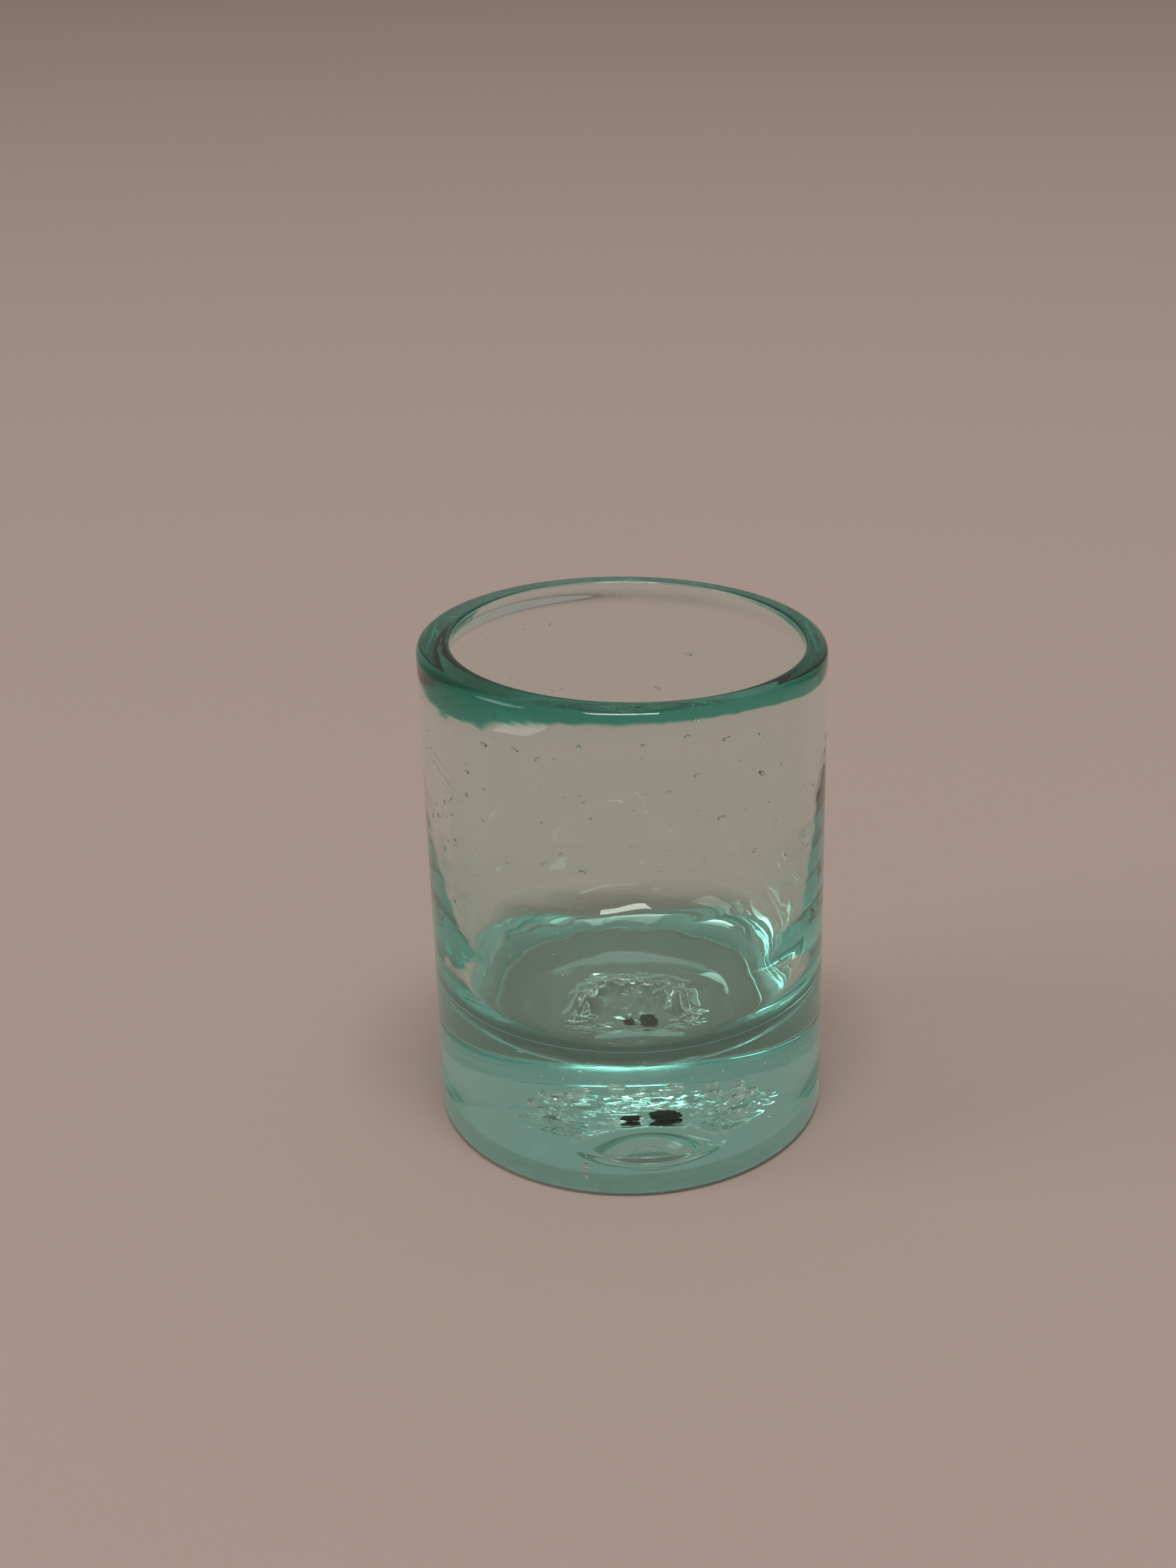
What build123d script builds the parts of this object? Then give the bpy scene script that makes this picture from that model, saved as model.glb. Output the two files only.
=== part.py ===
"""Hand-blown shot glass of pale aqua recycled glass, with a heavy base and a teal lip wrap.

Millimetres, +Z up. The origin is on the surface that the glass stands on, under the middle of the
foot. -Y is the front and +X is the right-hand side, where the lip wrap is thinnest.
"""
import math
import os

from build123d import *

# Overall size
FOOT_RADIUS = 25.3
LIP_RADIUS = 25.2
LIP_MEAN_HEIGHT = 64.8
FOOT_EDGE_RADIUS = 1.1

# The lip is a little out of level, as the shears and the reheating left it
LIP_DROP_TO_RIGHT = 0.024
LIP_RISE_TO_FRONT = 0.024

# Trailed lip wrap, melted in to a flat-topped bead that is thickest on the left
WRAP_MEAN_THICKNESS = 3.4
WRAP_THICKNESS_SWING = 0.7
WRAP_HEIGHT = 2.8
WRAP_ROUNDING = 1.1
WRAP_STATIONS = 8

# The blown wall and the well inside it
WALL_BELOW_LIP = 2.2
WELL_RADIUS = 22.95
WELL_STRAIGHT_TO = 45.0
WELL_FLOOR = 15.0
BOWL_FLAT_RADIUS = 13.6
BOWL_CORNER_RADIUS = 8.0
WELL_CURVE = [(22.88, 41.0), (22.6, 35.0), (22.15, 29.5), (21.75, 25.5)]

# Outside of the first gather, where the second gather took hold
FIRST_GATHER_FLOOR = 12.0
SLEEVE_TOP = 45.0
SLEEVE_CURVE = [(24.25, 36.0), (23.9, 30.0), (23.3, 24.6), (22.0, 19.4), (19.4, 15.4), (15.4, 13.0)]

# Punt pushed up under the base, the smooth dent in front of its middle, and the pontil scar
PUNT_RADIUS = 17.2
PUNT_HEIGHT = 1.6
DENT_AT = (2.2, -6.8)
DENT_SIZE = (6.8, 7.2, 2.6)
SCAR_CENTRE = (0.8, 2.4)
SCAR_LOWEST = 0.2

# Lumps that make up the torn wad: offset from the scar's centre, then radius
WAD_LUMPS = [(0.0, 0.0, 5.2), (-4.6, 0.4, 3.3), (4.4, 0.6, 3.6), (-1.6, 2.6, 3.3), (2.2, -1.4, 3.4)]
WAD_LUMP_SQUASH = 0.42

# Glass crumbs round the back of the scar
CRUMB_COUNT = 13
CRUMB_RING_RADIUS = 8.8
CRUMB_RADIUS = 0.5

# Flakes of iron scale torn off the pontil iron, caught in the wad
LARGE_FLAKE_AT = (2.6, 2.3, 0.35)
LARGE_FLAKE_THICKNESS = 1.1
LARGE_FLAKE = [(-1.4, -0.6), (-0.4, -1.1), (0.8, -0.9), (1.4, 0.1), (1.0, 1.0), (0.1, 0.8), (-0.8, 1.1)]
SMALL_FLAKE_AT = (0.0, 2.1, 0.4)
SMALL_FLAKE_THICKNESS = 0.7
SMALL_FLAKE = [(-0.9, -0.3), (0.0, -0.6), (0.8, -0.2), (0.6, 0.5), (-0.4, 0.6)]


def turned(outline):
    """Solid turned round the Z axis from a closed outline of (radius, height)."""
    return revolve(make_face(Plane.XZ * outline), Axis.Z)


def tilted(shape):
    """Tip a shape that is built about a level lip plane, so that it follows the real lip."""
    tip = Rot(-math.degrees(LIP_RISE_TO_FRONT), math.degrees(LIP_DROP_TO_RIGHT), 0)
    return Pos(0, 0, LIP_MEAN_HEIGHT) * tip * shape


def envelope():
    """Everything inside the outer surface, from the foot up to the wall's cut top edge."""
    outline = Line((0, 0), (FOOT_RADIUS - FOOT_EDGE_RADIUS, 0))
    outline += RadiusArc(outline @ 1, (FOOT_RADIUS, FOOT_EDGE_RADIUS), -FOOT_EDGE_RADIUS)
    outline += Polyline(
        (FOOT_RADIUS, FOOT_EDGE_RADIUS),
        (LIP_RADIUS, LIP_MEAN_HEIGHT),
        (0, LIP_MEAN_HEIGHT),
        (0, 0),
    )
    above_wall = Pos(0, 0, -WALL_BELOW_LIP) * Cylinder(
        2 * LIP_RADIUS, 6 * WALL_BELOW_LIP, align=(Align.CENTER, Align.CENTER, Align.MIN)
    )
    return turned(outline) - tilted(above_wall)


def well():
    """The hollow that holds the drink, straight above and bowled below."""
    top = 1.2 * LIP_MEAN_HEIGHT
    side = BOWL_FLAT_RADIUS + BOWL_CORNER_RADIUS
    bowl_top = (side, WELL_FLOOR + BOWL_CORNER_RADIUS)
    wall_foot = (WELL_RADIUS, WELL_STRAIGHT_TO)
    outline = Polyline(
        (BOWL_FLAT_RADIUS, WELL_FLOOR),
        (0, WELL_FLOOR),
        (0, top),
        (WELL_RADIUS, top),
        wall_foot,
    )
    outline += Spline([wall_foot, *WELL_CURVE, bowl_top], tangents=[(0, -1), (0, -1)])
    outline += RadiusArc((BOWL_FLAT_RADIUS, WELL_FLOOR), bowl_top, -BOWL_CORNER_RADIUS)
    return turned(outline)


def first_gather():
    """Outer form of the first bubble: it is buried in the second gather below the sleeve's top."""
    top = 1.2 * LIP_MEAN_HEIGHT
    wide = FOOT_RADIUS + 3
    bowl = Spline(
        [(LIP_RADIUS + 0.3, SLEEVE_TOP), *SLEEVE_CURVE, (0, FIRST_GATHER_FLOOR)],
        tangents=[(-0.15, -1), (-1, 0)],
    )
    walls = Polyline(
        (0, FIRST_GATHER_FLOOR), (0, top), (wide, top), (wide, SLEEVE_TOP), (LIP_RADIUS + 0.3, SLEEVE_TOP)
    )
    return turned(bowl + walls)


def punt_hollow():
    """Shallow dome under the base, a cap cut from a large ball."""
    ball = (PUNT_RADIUS**2 + PUNT_HEIGHT**2) / (2 * PUNT_HEIGHT)
    below = Cylinder(2 * ball, 2 * ball, align=(Align.CENTER, Align.CENTER, Align.MAX))
    return Pos(0, 0, PUNT_HEIGHT - ball) * Sphere(ball) - below


def dent():
    """Smooth hollow pressed in the base in front of the scar, the upper half of a squashed ball."""
    below = Cylinder(2 * PUNT_RADIUS, 2 * PUNT_RADIUS, align=(Align.CENTER, Align.CENTER, Align.MAX))
    return Pos(*DENT_AT, 0) * scale(Sphere(1), DENT_SIZE) - below


def wrap_section(angle):
    """One rounded section of the lip wrap, at an angle from the right-hand side."""
    thickness = WRAP_MEAN_THICKNESS - WRAP_THICKNESS_SWING * math.cos(angle)
    reach = LIP_RADIUS - thickness / 2
    out = (math.cos(angle), math.sin(angle), 0)
    along = (-math.sin(angle), math.cos(angle), 0)
    centre = (reach * out[0], reach * out[1], -WRAP_HEIGHT / 2)
    section = RectangleRounded(thickness, WRAP_HEIGHT, WRAP_ROUNDING)
    return Plane(origin=centre, x_dir=out, z_dir=along) * section


def lip_wrap(wall):
    """Bead of teal glass round the mouth, grooved where it bedded over the wall's edge."""
    halves = []
    for start in (0, math.pi):
        stations = [start + math.pi * step / WRAP_STATIONS for step in range(WRAP_STATIONS + 1)]
        halves.append(loft([wrap_section(angle) for angle in stations]))
    return tilted(halves[0] + halves[1]) - wall


def flake(outline, thickness, place):
    """Irregular plate of scale."""
    return Pos(*place) * extrude(make_face(Polyline(*outline, close=True)), thickness)


def pontil_wad(hollow, flakes):
    """Torn glass that stayed stuck in the punt when the pontil iron was knocked off."""
    wad = None
    for dx, dy, radius in WAD_LUMPS:
        lump = scale(Sphere(radius), (1, 1, WAD_LUMP_SQUASH))
        lump = Pos(SCAR_CENTRE[0] + dx, SCAR_CENTRE[1] + dy, PUNT_HEIGHT - 0.4) * lump
        wad = lump if wad is None else wad + lump
    clear_of_table = Pos(0, 0, SCAR_LOWEST) * Cylinder(
        PUNT_RADIUS, 2 * PUNT_HEIGHT, align=(Align.CENTER, Align.CENTER, Align.MIN)
    )
    return (wad & hollow & clear_of_table) - flakes


def pontil_crumbs(hollow, wad):
    """Crumbs of broken glass stuck to the punt round the back of the wad."""
    ball = (PUNT_RADIUS**2 + PUNT_HEIGHT**2) / (2 * PUNT_HEIGHT)
    crumbs = []
    for step in range(CRUMB_COUNT):
        angle = math.radians(-8 + 196 * step / (CRUMB_COUNT - 1))
        ring = CRUMB_RING_RADIUS + 0.5 * math.sin(5.0 * step)
        radius = CRUMB_RADIUS * (1 + 0.3 * math.sin(3.1 * step))
        x = SCAR_CENTRE[0] + ring * math.cos(angle)
        y = SCAR_CENTRE[1] + ring * math.sin(angle)
        z = PUNT_HEIGHT - ball + math.sqrt(ball**2 - x**2 - y**2) - 0.4 * radius
        crumbs.append(Pos(x, y, z) * Sphere(radius) & hollow)
    return Compound(children=[piece.solids()[0] for piece in [crumb - wad for crumb in crumbs]])


def glass_parts():
    """Every piece, by the name of its node."""
    shell = envelope()
    hollow = punt_hollow()
    bubble = first_gather()
    cup = (shell & bubble) - well()
    base = shell - bubble - hollow - dent()
    large = flake(LARGE_FLAKE, LARGE_FLAKE_THICKNESS, LARGE_FLAKE_AT)
    small = flake(SMALL_FLAKE, SMALL_FLAKE_THICKNESS, SMALL_FLAKE_AT)
    wad = pontil_wad(hollow - dent(), large + small)
    return {
        "cup_bubble": cup,
        "base_gather": base,
        "lip_wrap": lip_wrap(cup),
        "pontil_wad": wad,
        "pontil_crumbs": pontil_crumbs(hollow, wad),
        "scale_flake_large": large,
        "scale_flake_small": small,
    }


os.makedirs("parts", exist_ok=True)
for node, shape in glass_parts().items():
    export_step(shape, f"parts/{node}.step")
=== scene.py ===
import math

import bpy
import numpy as np
from mathutils import Matrix, Vector, noise


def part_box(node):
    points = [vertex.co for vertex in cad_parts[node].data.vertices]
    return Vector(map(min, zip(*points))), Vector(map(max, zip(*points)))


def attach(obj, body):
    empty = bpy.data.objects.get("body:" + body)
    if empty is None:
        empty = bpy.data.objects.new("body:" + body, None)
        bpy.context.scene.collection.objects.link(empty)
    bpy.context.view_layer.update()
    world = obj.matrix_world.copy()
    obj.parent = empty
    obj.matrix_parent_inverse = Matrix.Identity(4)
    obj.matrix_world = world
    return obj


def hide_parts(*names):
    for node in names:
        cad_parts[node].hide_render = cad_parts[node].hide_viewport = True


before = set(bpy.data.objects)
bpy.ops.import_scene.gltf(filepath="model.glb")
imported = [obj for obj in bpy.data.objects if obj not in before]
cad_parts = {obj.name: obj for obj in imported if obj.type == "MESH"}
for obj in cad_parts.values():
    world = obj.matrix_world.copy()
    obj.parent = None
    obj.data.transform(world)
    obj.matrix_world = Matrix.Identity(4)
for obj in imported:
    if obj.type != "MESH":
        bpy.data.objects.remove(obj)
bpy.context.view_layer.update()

MM = 0.001

# ---------------------------------------------------------------- where it stands
# The glass stands on a plain pale surface, matt and slightly pink, lit by a soft room. The camera
# looks down at it from the front. The light goes through glass many times before it leaves, so
# light paths are allowed to be long.
foot_low, foot_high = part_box("base_gather")
foot_radius = (foot_high.x - foot_low.x) / 2
lip_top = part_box("lip_wrap")[1].z
surface_colour = (0.50, 0.40, 0.365)

camera_back, camera_up = 243.5 * MM, 158.2 * MM
sensor_width, lens_length = 36, 48.824593
look_down, look_side, roll = 0.435, -0.019, -0.029
forward = Vector((math.sin(look_side) * math.cos(look_down),
                  math.cos(look_side) * math.cos(look_down), -math.sin(look_down)))
level = Vector((math.cos(look_side), -math.sin(look_side), 0))
upright = level.cross(forward)
across = level * math.cos(roll) + upright * math.sin(roll)
upward = upright * math.cos(roll) - level * math.sin(roll)
camera = bpy.data.objects.new("camera", bpy.data.cameras.new("camera"))
camera.matrix_world = Matrix.Translation((0, -camera_back, camera_up)) @ Matrix(
    (across, upward, -forward)).transposed().to_4x4()
camera.data.sensor_width = sensor_width
camera.data.lens = lens_length
camera.data.clip_start = 0.01
bpy.context.scene.collection.objects.link(camera)
bpy.context.scene.camera = camera

rays = bpy.context.scene.cycles
rays.max_bounces = rays.transmission_bounces = 40
rays.glossy_bounces = 16
rays.transparent_max_bounces = 32
bpy.context.scene.view_settings.view_transform = "Standard"


class Socket:
    """A node's output, on which + - and * add Math nodes."""

    def __init__(self, tree, out):
        self.tree, self.out = tree, out

    def of(self, operation, *values):
        return self.tree.node("ShaderNodeMath", {"operation": operation}, dict(enumerate(values)))

    def __add__(self, other):
        return self.of("ADD", self, other)

    def __sub__(self, other):
        return self.of("SUBTRACT", self, other)

    def __rsub__(self, other):
        return self.of("SUBTRACT", other, self)

    def __mul__(self, other):
        return self.of("MULTIPLY", self, other)

    __radd__ = __add__
    __rmul__ = __mul__


class Finish:
    """A material's node tree, built from its Principled shader."""

    def __init__(self, name, **constants):
        self.material = bpy.data.materials.new(name)
        self.material.use_nodes = True
        self.nodes = self.material.node_tree.nodes
        self.links = self.material.node_tree.links
        self.shader = self.nodes["Principled BSDF"]
        for socket, value in constants.items():
            self.shader.inputs[socket.replace("_", " ")].default_value = value

    def node(self, kind, settings=None, sockets=None, out=0):
        made = self.nodes.new(kind)
        for key, value in (settings or {}).items():
            setattr(made, key, value)
        for key, value in (sockets or {}).items():
            self.feed(made.inputs[key], value)
        return Socket(self, made.outputs[out])

    def feed(self, target, value):
        if isinstance(value, Socket):
            self.links.new(value.out, target)
        else:
            target.default_value = value

    def set(self, socket, value):
        self.feed(self.shader.inputs[socket], value)

    def bump(self, height, distance):
        sockets = {"Height": height, "Distance": distance, "Strength": 1.0}
        self.set("Normal", self.node("ShaderNodeBump", None, sockets))

    def absorb(self, per_metre):
        """Plain absorption, given as what each colour loses in a metre of this glass."""
        density = max(per_metre)
        volume = self.nodes.new("ShaderNodeVolumeAbsorption")
        volume.inputs["Density"].default_value = density
        volume.inputs["Color"].default_value = [1 - k / density for k in per_metre] + [1]
        output = next(n for n in self.nodes if n.type == "OUTPUT_MATERIAL")
        self.links.new(volume.outputs["Volume"], output.inputs["Volume"])


def lamp(name, place, size, power, colour):
    light = bpy.data.lights.new(name, "AREA")
    light.shape, light.size, light.size_y = "RECTANGLE", size[0], size[1]
    light.energy, light.color = power, colour
    thing = bpy.data.objects.new(name, light)
    thing.location = place
    thing.rotation_euler = (Vector((0, 0, 0.03)) - Vector(place)).to_track_quat("-Z", "Y").to_euler()
    bpy.context.scene.collection.objects.link(thing)


room = bpy.data.worlds.new("room")
room.use_nodes = True
room.node_tree.nodes["Background"].inputs["Color"].default_value = (0.97, 0.87, 0.80, 1)
room.node_tree.nodes["Background"].inputs["Strength"].default_value = 0.31
bpy.context.scene.world = room
lamp("window", (-3.0, -0.6, 2.2), (1.5, 1.5), 18, (1.0, 0.97, 0.93))
lamp("ceiling_light", (0.05, -0.38, 1.9), (0.8, 0.42), 15, (1.0, 0.96, 0.9))

surface = Finish("matt_surface", Roughness=0.9)
surface.set("Base Color", (*surface_colour, 1))
floor_mesh = bpy.data.meshes.new("floor")
span = 6.0
corners = [(-span, -span, 0), (span, -span, 0), (span, span, 0), (-span, span, 0)]
floor_mesh.from_pydata(corners, [], [(0, 1, 2, 3)])
floor_mesh.materials.append(surface.material)
floor = bpy.data.objects.new("floor", floor_mesh)
floor.location.z = -0.00002
bpy.context.scene.collection.objects.link(floor)

# ---------------------------------------------------------------- the blown glass
# One bubble of pale recycled glass, dipped a second time for the heavy base, with its lip reheated
# to a thick flat bead. Glass that has fused has no surface inside it, so its whole outer surface is
# one skin, and the seeds are air bubbles left in it.
lip_radius = foot_radius - 0.1 * MM
lip_mean = lip_top - 0.8 * MM
lip_drop, lip_rise = 0.024, 0.024
well_radius = 22.95 * MM
well_floor, bowl_flat, bowl_radius = 15.0, 13.6, 8.0
foot_edge = 1.1 * MM
punt_radius, punt_height = 17.2 * MM, 1.5 * MM
scar_centre = Vector((0.8 * MM, 2.2 * MM))
scar_radius = 9.4 * MM
dimple_centre = Vector((1.6 * MM, -7.2 * MM))
dimple_size = Vector((8.0 * MM, 7.8 * MM))
ring_count = 320
floor_rows, wall_rows, lip_rows, outside_rows, bottom_rows = 80, 40, 44, 60, 120


def curve_through(points, count):
    """Natural cubic spline through points, as count points evenly spaced by chord length."""
    p = np.array(points, float)
    t = np.r_[0, np.cumsum(np.linalg.norm(np.diff(p, axis=0), axis=1))]
    h = np.diff(t)
    n = len(p)
    a = np.eye(n)
    b = np.zeros_like(p)
    for k in range(1, n - 1):
        a[k, k - 1:k + 2] = h[k - 1], 2 * (h[k - 1] + h[k]), h[k]
        b[k] = 6 * ((p[k + 1] - p[k]) / h[k] - (p[k] - p[k - 1]) / h[k - 1])
    m = np.linalg.solve(a, b)
    s = np.linspace(0, t[-1], count)
    k = np.clip(np.searchsorted(t, s, side="right") - 1, 0, n - 2)
    u, v, w = (s - t[k])[:, None], (t[k + 1] - s)[:, None], h[k][:, None]
    curve = (m[k] * v**3 + m[k + 1] * u**3) / (6 * w)
    return curve + (p[k] / w - m[k] * w / 6) * v + (p[k + 1] / w - m[k + 1] * w / 6) * u


def well_line(count):
    """Radius and height of the well from the middle of its floor up the straight wall."""
    bowl = [(4.0, well_floor), (bowl_flat, well_floor)]
    for turn in range(9, 88, 9):
        lean = math.radians(turn)
        bowl.append((bowl_flat + bowl_radius * math.sin(lean),
                     well_floor + bowl_radius * (1 - math.cos(lean))))
    side = bowl_flat + bowl_radius
    bowl += [(21.75, 25.5), (22.15, 29.5), (22.6, 35.0), (22.88, 41.0), (22.95, 50.0)]
    mirrored = [(-r, z) for r, z in reversed(bowl)]
    line = curve_through(mirrored + [(0, well_floor)] + bowl, 2 * count - 1)[count - 1:]
    return line * MM


def lip_height(angle):
    x, y = math.cos(angle), math.sin(angle)
    return lip_mean + lip_radius * (-lip_drop * x - lip_rise * y)


def lip_thickness(angle):
    return (3.4 - 0.7 * math.cos(angle)) * MM


def bell(angle, degrees, width):
    """1 at an angle in degrees, and dying away over width degrees to each side."""
    off = math.degrees(math.remainder(angle - math.radians(degrees), 2 * math.pi))
    return math.exp(-((off / width) ** 2))


def lip_reach(angle):
    return (3.2 + 3.6 * bell(angle, 213, 43)) * MM


def lip_line(angle, inset=0.0):
    """The lip's rounded end, from the inner face over the top to the outer face."""
    crest = lip_height(angle) - inset
    inner = lip_radius - lip_thickness(angle) + inset
    outer = lip_radius - inset
    inner_round, outer_round, slope = 0.55 * MM, 1.15 * MM, 0.09
    line = []
    for step in range(0, 15):
        turn = (math.pi / 2 - slope) * step / 14
        line.append((inner + inner_round * (1 - math.cos(turn)), crest - inner_round * (1 - math.sin(turn))))
    fall = (outer - outer_round - line[-1][0]) * slope
    for step in range(0, 15):
        turn = (math.pi / 2 - slope) * (1 - step / 14)
        line.append((outer - outer_round * (1 - math.cos(turn)),
                     crest - fall - outer_round * (1 - math.sin(turn))))
    first, last = line[14], line[15]
    crown = [(first[0] + (last[0] - first[0]) * k / 10, first[1] + (last[1] - first[1]) * k / 10)
             for k in range(1, 10)]
    return line[:15] + crown + line[15:]


def skin_line(angle):
    """Radius and height all the way round the glass's section at one angle."""
    lip = lip_line(angle)
    line = [tuple(p) for p in well_line(floor_rows)]
    start = line[-1][1]
    edge, end = lip[0]
    for step in range(1, wall_rows):
        z = start + (end - start) * step / wall_rows
        up = max(0.0, 1 - (end - z) / lip_reach(angle))
        line.append((well_radius + (edge - well_radius) * up * up * (3 - 2 * up), z))
    line += lip
    end = lip[-1][1]
    for step in range(1, outside_rows):
        share = step / outside_rows
        line.append((lip_radius + (foot_radius - lip_radius) * share, end + (foot_edge - end) * share))
    for step in range(0, 13):
        turn = math.pi / 2 * step / 12
        line.append((foot_radius - foot_edge * (1 - math.cos(turn)), foot_edge * (1 - math.sin(turn))))
    for step in range(1, bottom_rows):
        line.append(((foot_radius - foot_edge) * (1 - step / bottom_rows), 0.0))
    return line


def underside(x, y):
    """Height of the underside: punted up, with the torn wad filling its middle and a smooth dent in front."""
    z = punt_height * max(0.0, 1 - (math.hypot(x, y) / punt_radius) ** 2.5) * (0.5 + 0.5 * y / punt_radius)
    across, along = (x - dimple_centre.x) / dimple_size.x, (y - dimple_centre.y) / dimple_size.y
    spread = across**2 + along**2
    from_scar = math.hypot((x - scar_centre.x) / 1.15, y - scar_centre.y)
    torn = z
    if from_scar < scar_radius:
        edge = min(1.0, 3 * (1 - from_scar / scar_radius))
        p = Vector((x / (2.6 * MM), y / (2.1 * MM), 3.7))
        near, far = noise.voronoi(p)[0][:2]
        rough = (far - near) * 1.1 + noise.noise(p * 2.7) * 0.35 + noise.noise(p * 0.6) * 0.7
        core = min(1.0, max(0.0, 2.2 - from_scar / (0.34 * scar_radius)))
        rugged = (0.2 + (1.2 - 1.1 * core) * (1.0 - rough)) * MM
        torn += (min(max(rugged, 0.12 * MM), 1.5 * MM) - torn) * edge
    if spread < 1:
        share = min(1.0, 3 * (1 - spread))
        smooth = (0.15 + 2.6 * (1 - spread) ** 1.3 * (1 - 0.25 * along)) * MM
        return torn + (smooth - torn) * share
    return torn


def unevenness(angle, r, z):
    """Waves and faint turning marks in the inner face, where nothing but air shaped it."""
    p = Vector((r * math.cos(angle), r * math.sin(angle), z)) / MM
    slow = noise.noise(p * 0.11) * 0.12 + noise.noise(p * 0.31 + Vector((9, 2, 5))) * 0.03
    marks = noise.noise(Vector((math.cos(angle), math.sin(angle), p.z * 0.9 + 0.6 * math.sin(angle)))) * 0.022
    return (slow + marks) * MM


def skin_mesh():
    verts, faces = [], []
    inner_rows = floor_rows + wall_rows - 1
    lines = [skin_line(2 * math.pi * i / ring_count) for i in range(ring_count)]
    rows = len(lines[0])
    verts.append((0, 0, lines[0][0][1]))
    for j in range(1, rows):
        for i in range(ring_count):
            angle = 2 * math.pi * i / ring_count
            r, z = lines[i][j]
            if j < inner_rows:
                calm = min(1.0, max(0.0, (lip_mean - 8 * MM - z) / (8 * MM))) * min(1.0, r / (4 * MM))
                wave = unevenness(angle, r, z) * calm
                r, z = r + wave * min(1.0, r / well_radius), z + wave * 0.5
            x, y = r * math.cos(angle), r * math.sin(angle)
            verts.append((x, y, underside(x, y) if j > rows - bottom_rows else z))
    verts.append((0, 0, underside(0, 0)))
    last = len(verts) - 1

    def at(j, i):
        return 1 + (j - 1) * ring_count + i % ring_count

    for i in range(ring_count):
        faces.append((0, at(1, i), at(1, i + 1)))
        faces.append((last, at(rows - 1, i + 1), at(rows - 1, i)))
        for j in range(1, rows - 1):
            faces.append((at(j, i), at(j + 1, i), at(j + 1, i + 1), at(j, i + 1)))
    return verts, faces


def seed(verts, faces, centre, size, turn=0.0):
    """One air bubble: an egg of length, width and depth, lying along the wall, facing inwards."""
    rings, sides = 8, 12
    along = Vector((-centre.y, centre.x, 0)).normalized()
    out = Vector((centre.x, centre.y, 0)).normalized()
    up = Vector((0, 0, 1))
    along, up = along * math.cos(turn) + up * math.sin(turn), up * math.cos(turn) - along * math.sin(turn)
    first = len(verts)
    verts.append(centre + along * size[0] / 2)
    for j in range(1, rings):
        lift = math.pi * j / rings
        for i in range(sides):
            spin = 2 * math.pi * i / sides
            verts.append(centre + along * math.cos(lift) * size[0] / 2 + math.sin(lift) * (
                up * math.cos(spin) * size[1] / 2 + out * math.sin(spin) * size[2] / 2))
    verts.append(centre - along * size[0] / 2)
    last = len(verts) - 1
    for i in range(sides):
        k = (i + 1) % sides
        faces.append((first, first + 1 + i, first + 1 + k))
        faces.append((last, last - sides + k, last - sides + i))
        for j in range(rings - 2):
            row = first + 1 + j * sides
            faces.append((row + i, row + sides + i, row + sides + k, row + k))


def wall_seed(verts, faces, angle, height, length, width, turn=0.0, depth=0.5):
    """A seed in the wall, at degrees right of the front, at a height, all in millimetres."""
    r = (well_radius + (foot_radius - well_radius) * (0.25 + 0.5 * depth))
    a = math.radians(angle - 90)
    seed(verts, faces, Vector((r * math.cos(a), r * math.sin(a), height * MM)),
         (length * MM, width * MM, min(width, 0.8) * MM), math.radians(turn))


verts, faces = skin_mesh()
# The long seeds that show best, as angle, height, length, width and tilt
for spot in [(-41, 59, 1.1, 0.42, -14), (-30.5, 59.4, 1.0, 0.36, -22), (-48.6, 54.6, 0.8, 0.4, -18),
             (28.4, 60.4, 1.1, 0.42, 10), (19.7, 56.6, 0.9, 0.38, 12), (26.8, 50.6, 1.1, 0.5, 8),
             (12, 55, 0.6, 0.3, 0), (38, 45, 0.8, 0.3, 40), (-57, 49.8, 0.5, 0.4, 60),
             (-57, 47.6, 0.6, 0.4, 20), (-71, 45, 0.9, 0.5, 50), (5, 61, 0.5, 0.5, 0),
             (-12, 60.8, 0.55, 0.55, 0), (17, 61.6, 0.7, 0.4, 5)]:
    wall_seed(verts, faces, *spot)
# Two hair-thin cords, drawn out as the bubble was turned
wall_seed(verts, faces, -64, 52.5, 9.5, 0.12, -17)
wall_seed(verts, faces, -58, 50.6, 5.5, 0.09, -21)
# The small seeds, scattered through the wall and then through the base
dice = np.random.default_rng(7)
wall_seeds, base_seeds, scar_bubbles = 260, 90, 26
for _ in range(wall_seeds):
    size = 0.12 + 0.4 * dice.random() ** 4
    wall_seed(verts, faces, dice.uniform(-180, 180), dice.uniform(19, 60), size * dice.uniform(1, 2.4), size,
              dice.normal(0, 20), dice.random())
for _ in range(base_seeds):
    r, a = 22.5 * MM * math.sqrt(dice.random()), dice.uniform(0, 2 * math.pi)
    size = (0.12 + 0.3 * dice.random() ** 3) * MM
    place = Vector((r * math.cos(a) + 1e-6, r * math.sin(a), dice.uniform(3.6, 14.2) * MM))
    seed(verts, faces, place, (size * dice.uniform(1, 1.6), size, size))
# The bubbles caught over the back of the scar, and the string of them near the front of the foot
for step in range(scar_bubbles):
    a = math.radians(-14 + 208 * step / (scar_bubbles - 1) + dice.normal(0, 3))
    r = (7.0 + 0.9 * math.sin(step * 2.4)) * MM
    size = (1.05 + 0.45 * math.sin(step * 1.9 + 1)) * MM
    place = Vector((scar_centre.x + 1.1 * r * math.cos(a), scar_centre.y + 0.75 * r * math.sin(a),
                    (2.75 + 0.5 * math.sin(step * 3.3)) * MM))
    seed(verts, faces, place, (size * 1.1, size, size * 0.9))
for height, size in [(1.1, 0.7), (1.9, 0.5), (2.6, 0.9), (3.5, 0.45), (4.1, 0.35)]:
    place = Vector((-5.4 * MM, -20.5 * MM, height * MM))
    seed(verts, faces, place, (size * MM, size * MM, size * MM))

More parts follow.
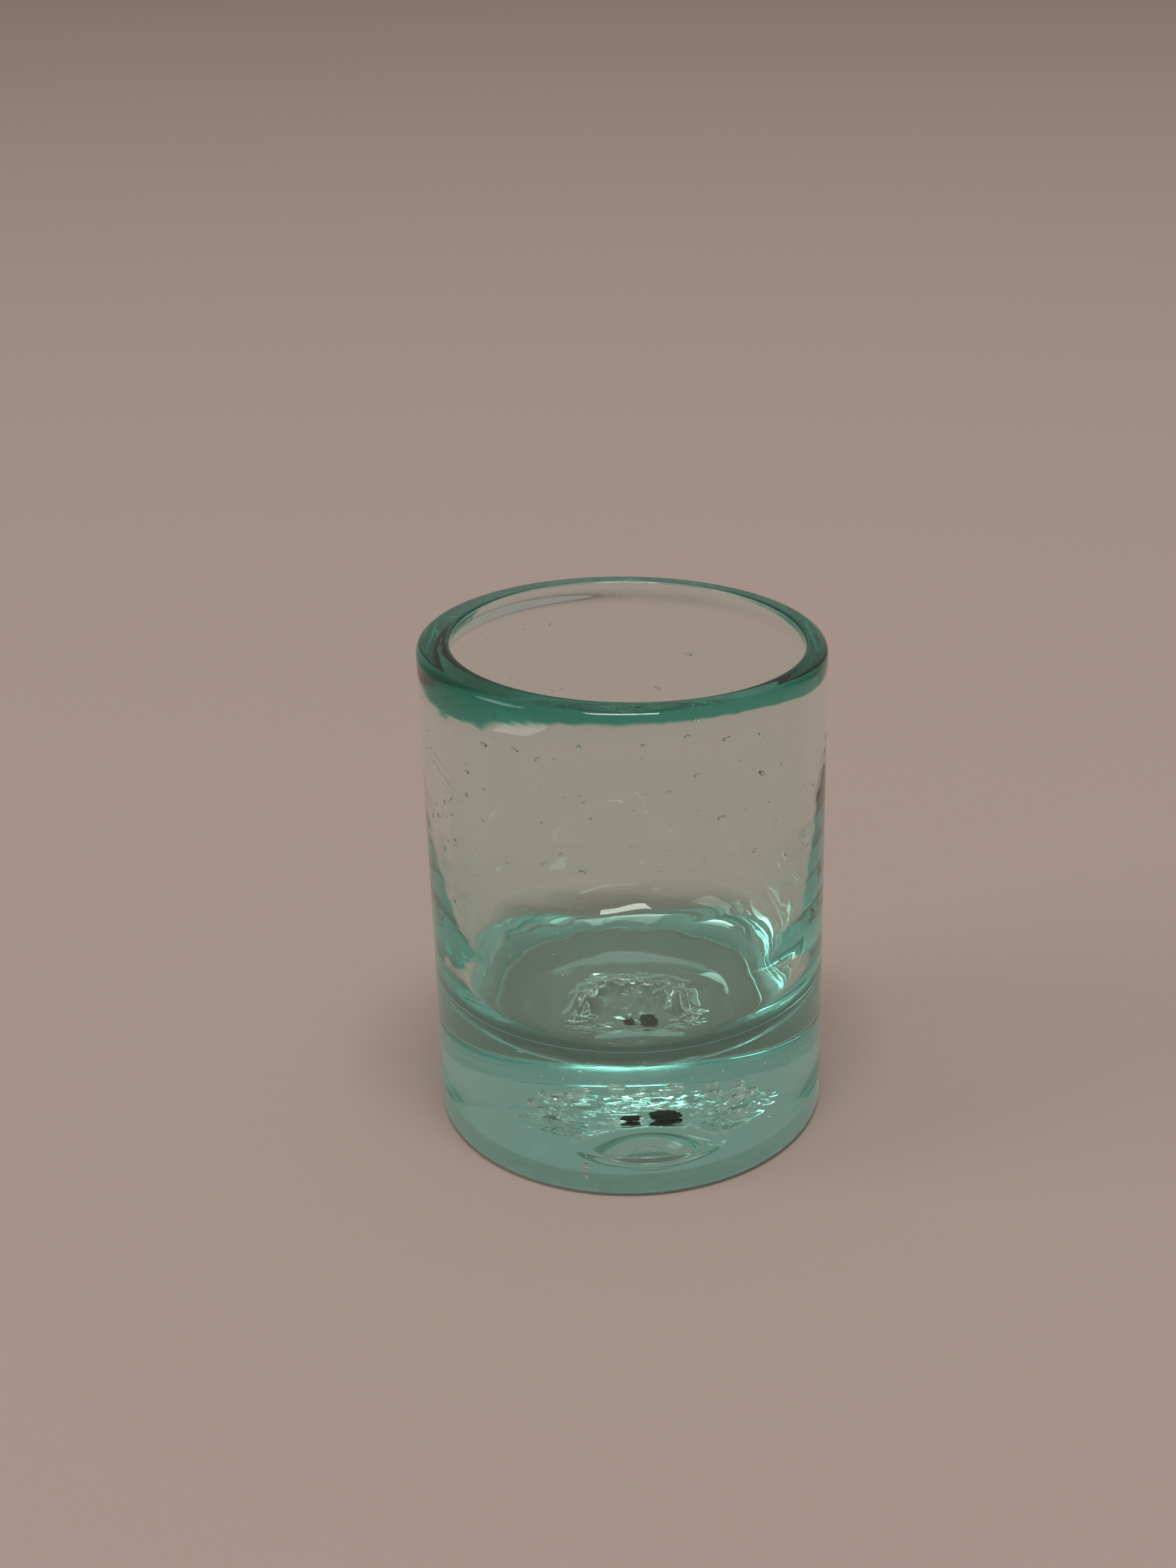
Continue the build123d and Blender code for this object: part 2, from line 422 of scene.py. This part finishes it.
glass = Finish("aqua_glass", Roughness=0.0, IOR=1.51, Transmission_Weight=1.0)
glass.set("Base Color", (0.93, 0.985, 0.955, 1))
glass.absorb((14, 1.4, 2.8))
place = glass.node("ShaderNodeTexCoord", out=3)
x, y, z = (glass.node("ShaderNodeSeparateXYZ", None, {0: place}, out=k) for k in range(3))
from_middle = glass.node("ShaderNodeMath", {"operation": "SQRT"}, {0: x * x + y * y})


def ramp(value, low, high):
    """0 below low, 1 above high, and straight between, as a node."""
    return glass.node("ShaderNodeMapRange", None, {0: value, 1: low, 2: high, 3: 0.0, 4: 1.0})


# Scuffs on the ring that it stands on, and dull patches where the glass tore
scuff = glass.node("ShaderNodeTexNoise", None,
                   {"Vector": place, "Scale": 420.0, "Detail": 4.0, "Roughness": 0.7})
foot = ramp(z, 0.0003, 0.0001)
ring = ramp(from_middle, 0.0168, 0.0176) * ramp(from_middle, 0.0246, 0.0238) * foot
beside, behind = x - scar_centre.x, y - scar_centre.y
off_scar = glass.node("ShaderNodeMath", {"operation": "SQRT"}, {0: beside * beside * 0.76 + behind * behind})
torn = ramp(off_scar, 0.0092, 0.0078) * ramp(z, 0.0024, 0.0018) * ramp(scuff, 0.47, 0.6)
glass.set("Roughness", ring * (scuff * 0.4 + 0.22) + torn * 0.35)
mesh = bpy.data.meshes.new("blown_glass")
mesh.from_pydata([tuple(v) for v in verts], [], faces)
mesh.shade_smooth()
mesh.materials.append(glass.material)
cup = bpy.data.objects.new("blown_glass", mesh)
bpy.context.scene.collection.objects.link(cup)
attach(cup, "root")
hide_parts("cup_bubble", "base_gather", "pontil_wad", "pontil_crumbs")

# ---------------------------------------------------------------- the painted teal shade in the lip
# Painted shade: a thin teal absorber just inside the lip, standing in for the teal of light piped round
# the clear glass. It is thickest over the top, and runs out down the outside in streaks, furthest at the left
# front.
painted_lip_shade = Finish("teal_lip_painted_shade", Roughness=0.0, IOR=1.0, Transmission_Weight=1.0)
painted_lip_shade.set("Base Color", (1, 1, 1, 1))
# Painted shade: teal absorption that stands in for light piped round the clear lip
painted_lip_shade.absorb((700, 200, 250))


def painted_shade_depth(angle):
    """How far the painted teal shade runs down the outside, from the lip's crest."""
    streak = abs(noise.noise(Vector((angle * 14, 0.3, 0))))
    streak += 0.6 * abs(noise.noise(Vector((angle * 47, 7, 0))))
    return (1.05 + 3.0 * bell(angle, 211, 27) + 1.7 * bell(angle, -18, 26) + 0.5 * bell(angle, 180, 30)
            + streak * (0.25 + 1.4 * bell(angle, 220, 24))) * MM


def rounded(below, rounding):
    """How far a rounded edge has drawn in, at some way below its top."""
    return rounding - math.sqrt(max(0.0, rounding**2 - (rounding - min(below, rounding)) ** 2))


def painted_lip_shade_mesh():
    inset, steps = 0.07 * MM, 14
    verts, faces = [], []
    for i in range(ring_count):
        angle = 2 * math.pi * i / ring_count
        crest = lip_height(angle) - inset
        outer, inner = lip_radius - inset, lip_radius - lip_thickness(angle) + inset
        fall = 0.09 * (outer - inner - 1.7 * MM)
        low = painted_shade_depth(angle)
        inner_low = max(0.25 * MM, low - 0.38 * math.sin(angle) * (outer - inner))
        line = []
        for step in range(steps, -1, -1):
            below = inner_low * step / steps
            up = min(1.0, max(0.0, 1 - (below - 0.55 * MM) / lip_reach(angle)))
            face = well_radius + inset + (inner - well_radius - inset) * up * up * (3 - 2 * up)
            line.append((face + rounded(below, 0.55 * MM), crest - below))
        for step in range(steps + 1):
            below = max(0.0, low - fall) * step / steps
            line.append((outer - rounded(below, 1.15 * MM), crest - fall - below))
        start, stop = line[-1], line[0]
        line += [(start[0] + (stop[0] - start[0]) * k / 8, start[1] + (stop[1] - start[1]) * k / 8)
                 for k in range(1, 8)]
        verts += [(r * math.cos(angle), r * math.sin(angle), z) for r, z in line]
    rows = len(line)
    for i in range(ring_count):
        for j in range(rows):
            k, m = (j + 1) % rows, (i + 1) % ring_count
            faces.append((i * rows + j, i * rows + k, m * rows + k, m * rows + j))
    return verts, faces


# The shell of the painted teal shade, just inside the lip
verts, faces = painted_lip_shade_mesh()
mesh = bpy.data.meshes.new("lip_painted_teal_shade")
mesh.from_pydata(verts, [], faces)
mesh.shade_smooth()
mesh.materials.append(painted_lip_shade.material)
lip = bpy.data.objects.new("lip_painted_teal_shade", mesh)
bpy.context.scene.collection.objects.link(lip)
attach(lip, "root")
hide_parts("lip_wrap")

# ---------------------------------------------------------------- the iron scale
# Two crusts of black scale off the pontil iron, caught in the torn glass when it was knocked off.
def crust():
    finish = Finish("iron_scale", Roughness=0.8)
    place = finish.node("ShaderNodeTexCoord", out=3)
    grain = finish.node("ShaderNodeTexNoise", None,
                        {"Vector": place, "Scale": 1900.0, "Detail": 5.0, "Roughness": 0.65})
    patch = finish.node("ShaderNodeTexVoronoi", None, {"Vector": place, "Scale": 900.0})
    black_scale, pale_scale = (0.003, 0.005, 0.004, 1), (0.05, 0.075, 0.06, 1)
    colour = finish.node("ShaderNodeMix", {"data_type": "RGBA"},
                         {0: grain * 0.7 + patch * 0.5, 6: black_scale, 7: pale_scale}, out=2)
    finish.set("Base Color", colour)
    finish.set("Roughness", grain * 0.4 + 0.45)
    finish.bump(grain + patch * 0.6, 0.25 * MM)
    return finish


def flake(name, centre, size, turn, lean):
    """A lumpy crust: a pebble of length, depth and height, broken up with noise."""
    rings, sides = 36, 56
    verts, faces = [], []
    for j in range(1, rings):
        lift = math.pi * j / rings
        for i in range(sides):
            spin = 2 * math.pi * i / sides
            p = Vector((math.sin(lift) * math.cos(spin), math.sin(lift) * math.sin(spin), math.cos(lift)))
            lump = 0.82 + 0.34 * noise.noise(p * 1.7 + Vector(centre) * 3) + 0.16 * noise.noise(p * 5.1)
            lump += 0.07 * noise.noise(p * 13.0)
            verts.append(Vector((p.x * size[0] / 2, p.y * size[1] / 2, p.z * size[2] / 2)) * lump)
    top, bottom = len(verts), len(verts) + 1
    verts += [Vector((0, 0, size[2] * 0.41)), Vector((0, 0, -size[2] * 0.41))]
    for i in range(sides):
        k = (i + 1) % sides
        faces += [(top, i, k), (bottom, (rings - 2) * sides + k, (rings - 2) * sides + i)]
        for j in range(rings - 2):
            row = j * sides
            faces.append((row + i, row + sides + i, row + sides + k, row + k))
    swing = Matrix.Rotation(math.radians(turn), 3, "Z") @ Matrix.Rotation(math.radians(lean), 3, "Y")
    return [(swing @ v + Vector(centre)) * MM for v in verts], faces


scale = crust()
for name, centre, size, turn, lean in [("scale_flake_large", (2.6, 2.3, 0.9), (2.9, 2.4, 1.5), 14, 8),
                                       ("scale_flake_small", (0.0, 2.1, 0.75), (1.8, 1.3, 0.9), -8, -6)]:
    verts, faces = flake(name, centre, size, turn, lean)
    mesh = bpy.data.meshes.new(name + "_crust")
    mesh.from_pydata(verts, [], faces)
    mesh.shade_smooth()
    mesh.materials.append(scale.material)
    piece = bpy.data.objects.new(name + "_crust", mesh)
    bpy.context.scene.collection.objects.link(piece)
    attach(piece, "root")
    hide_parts(name)
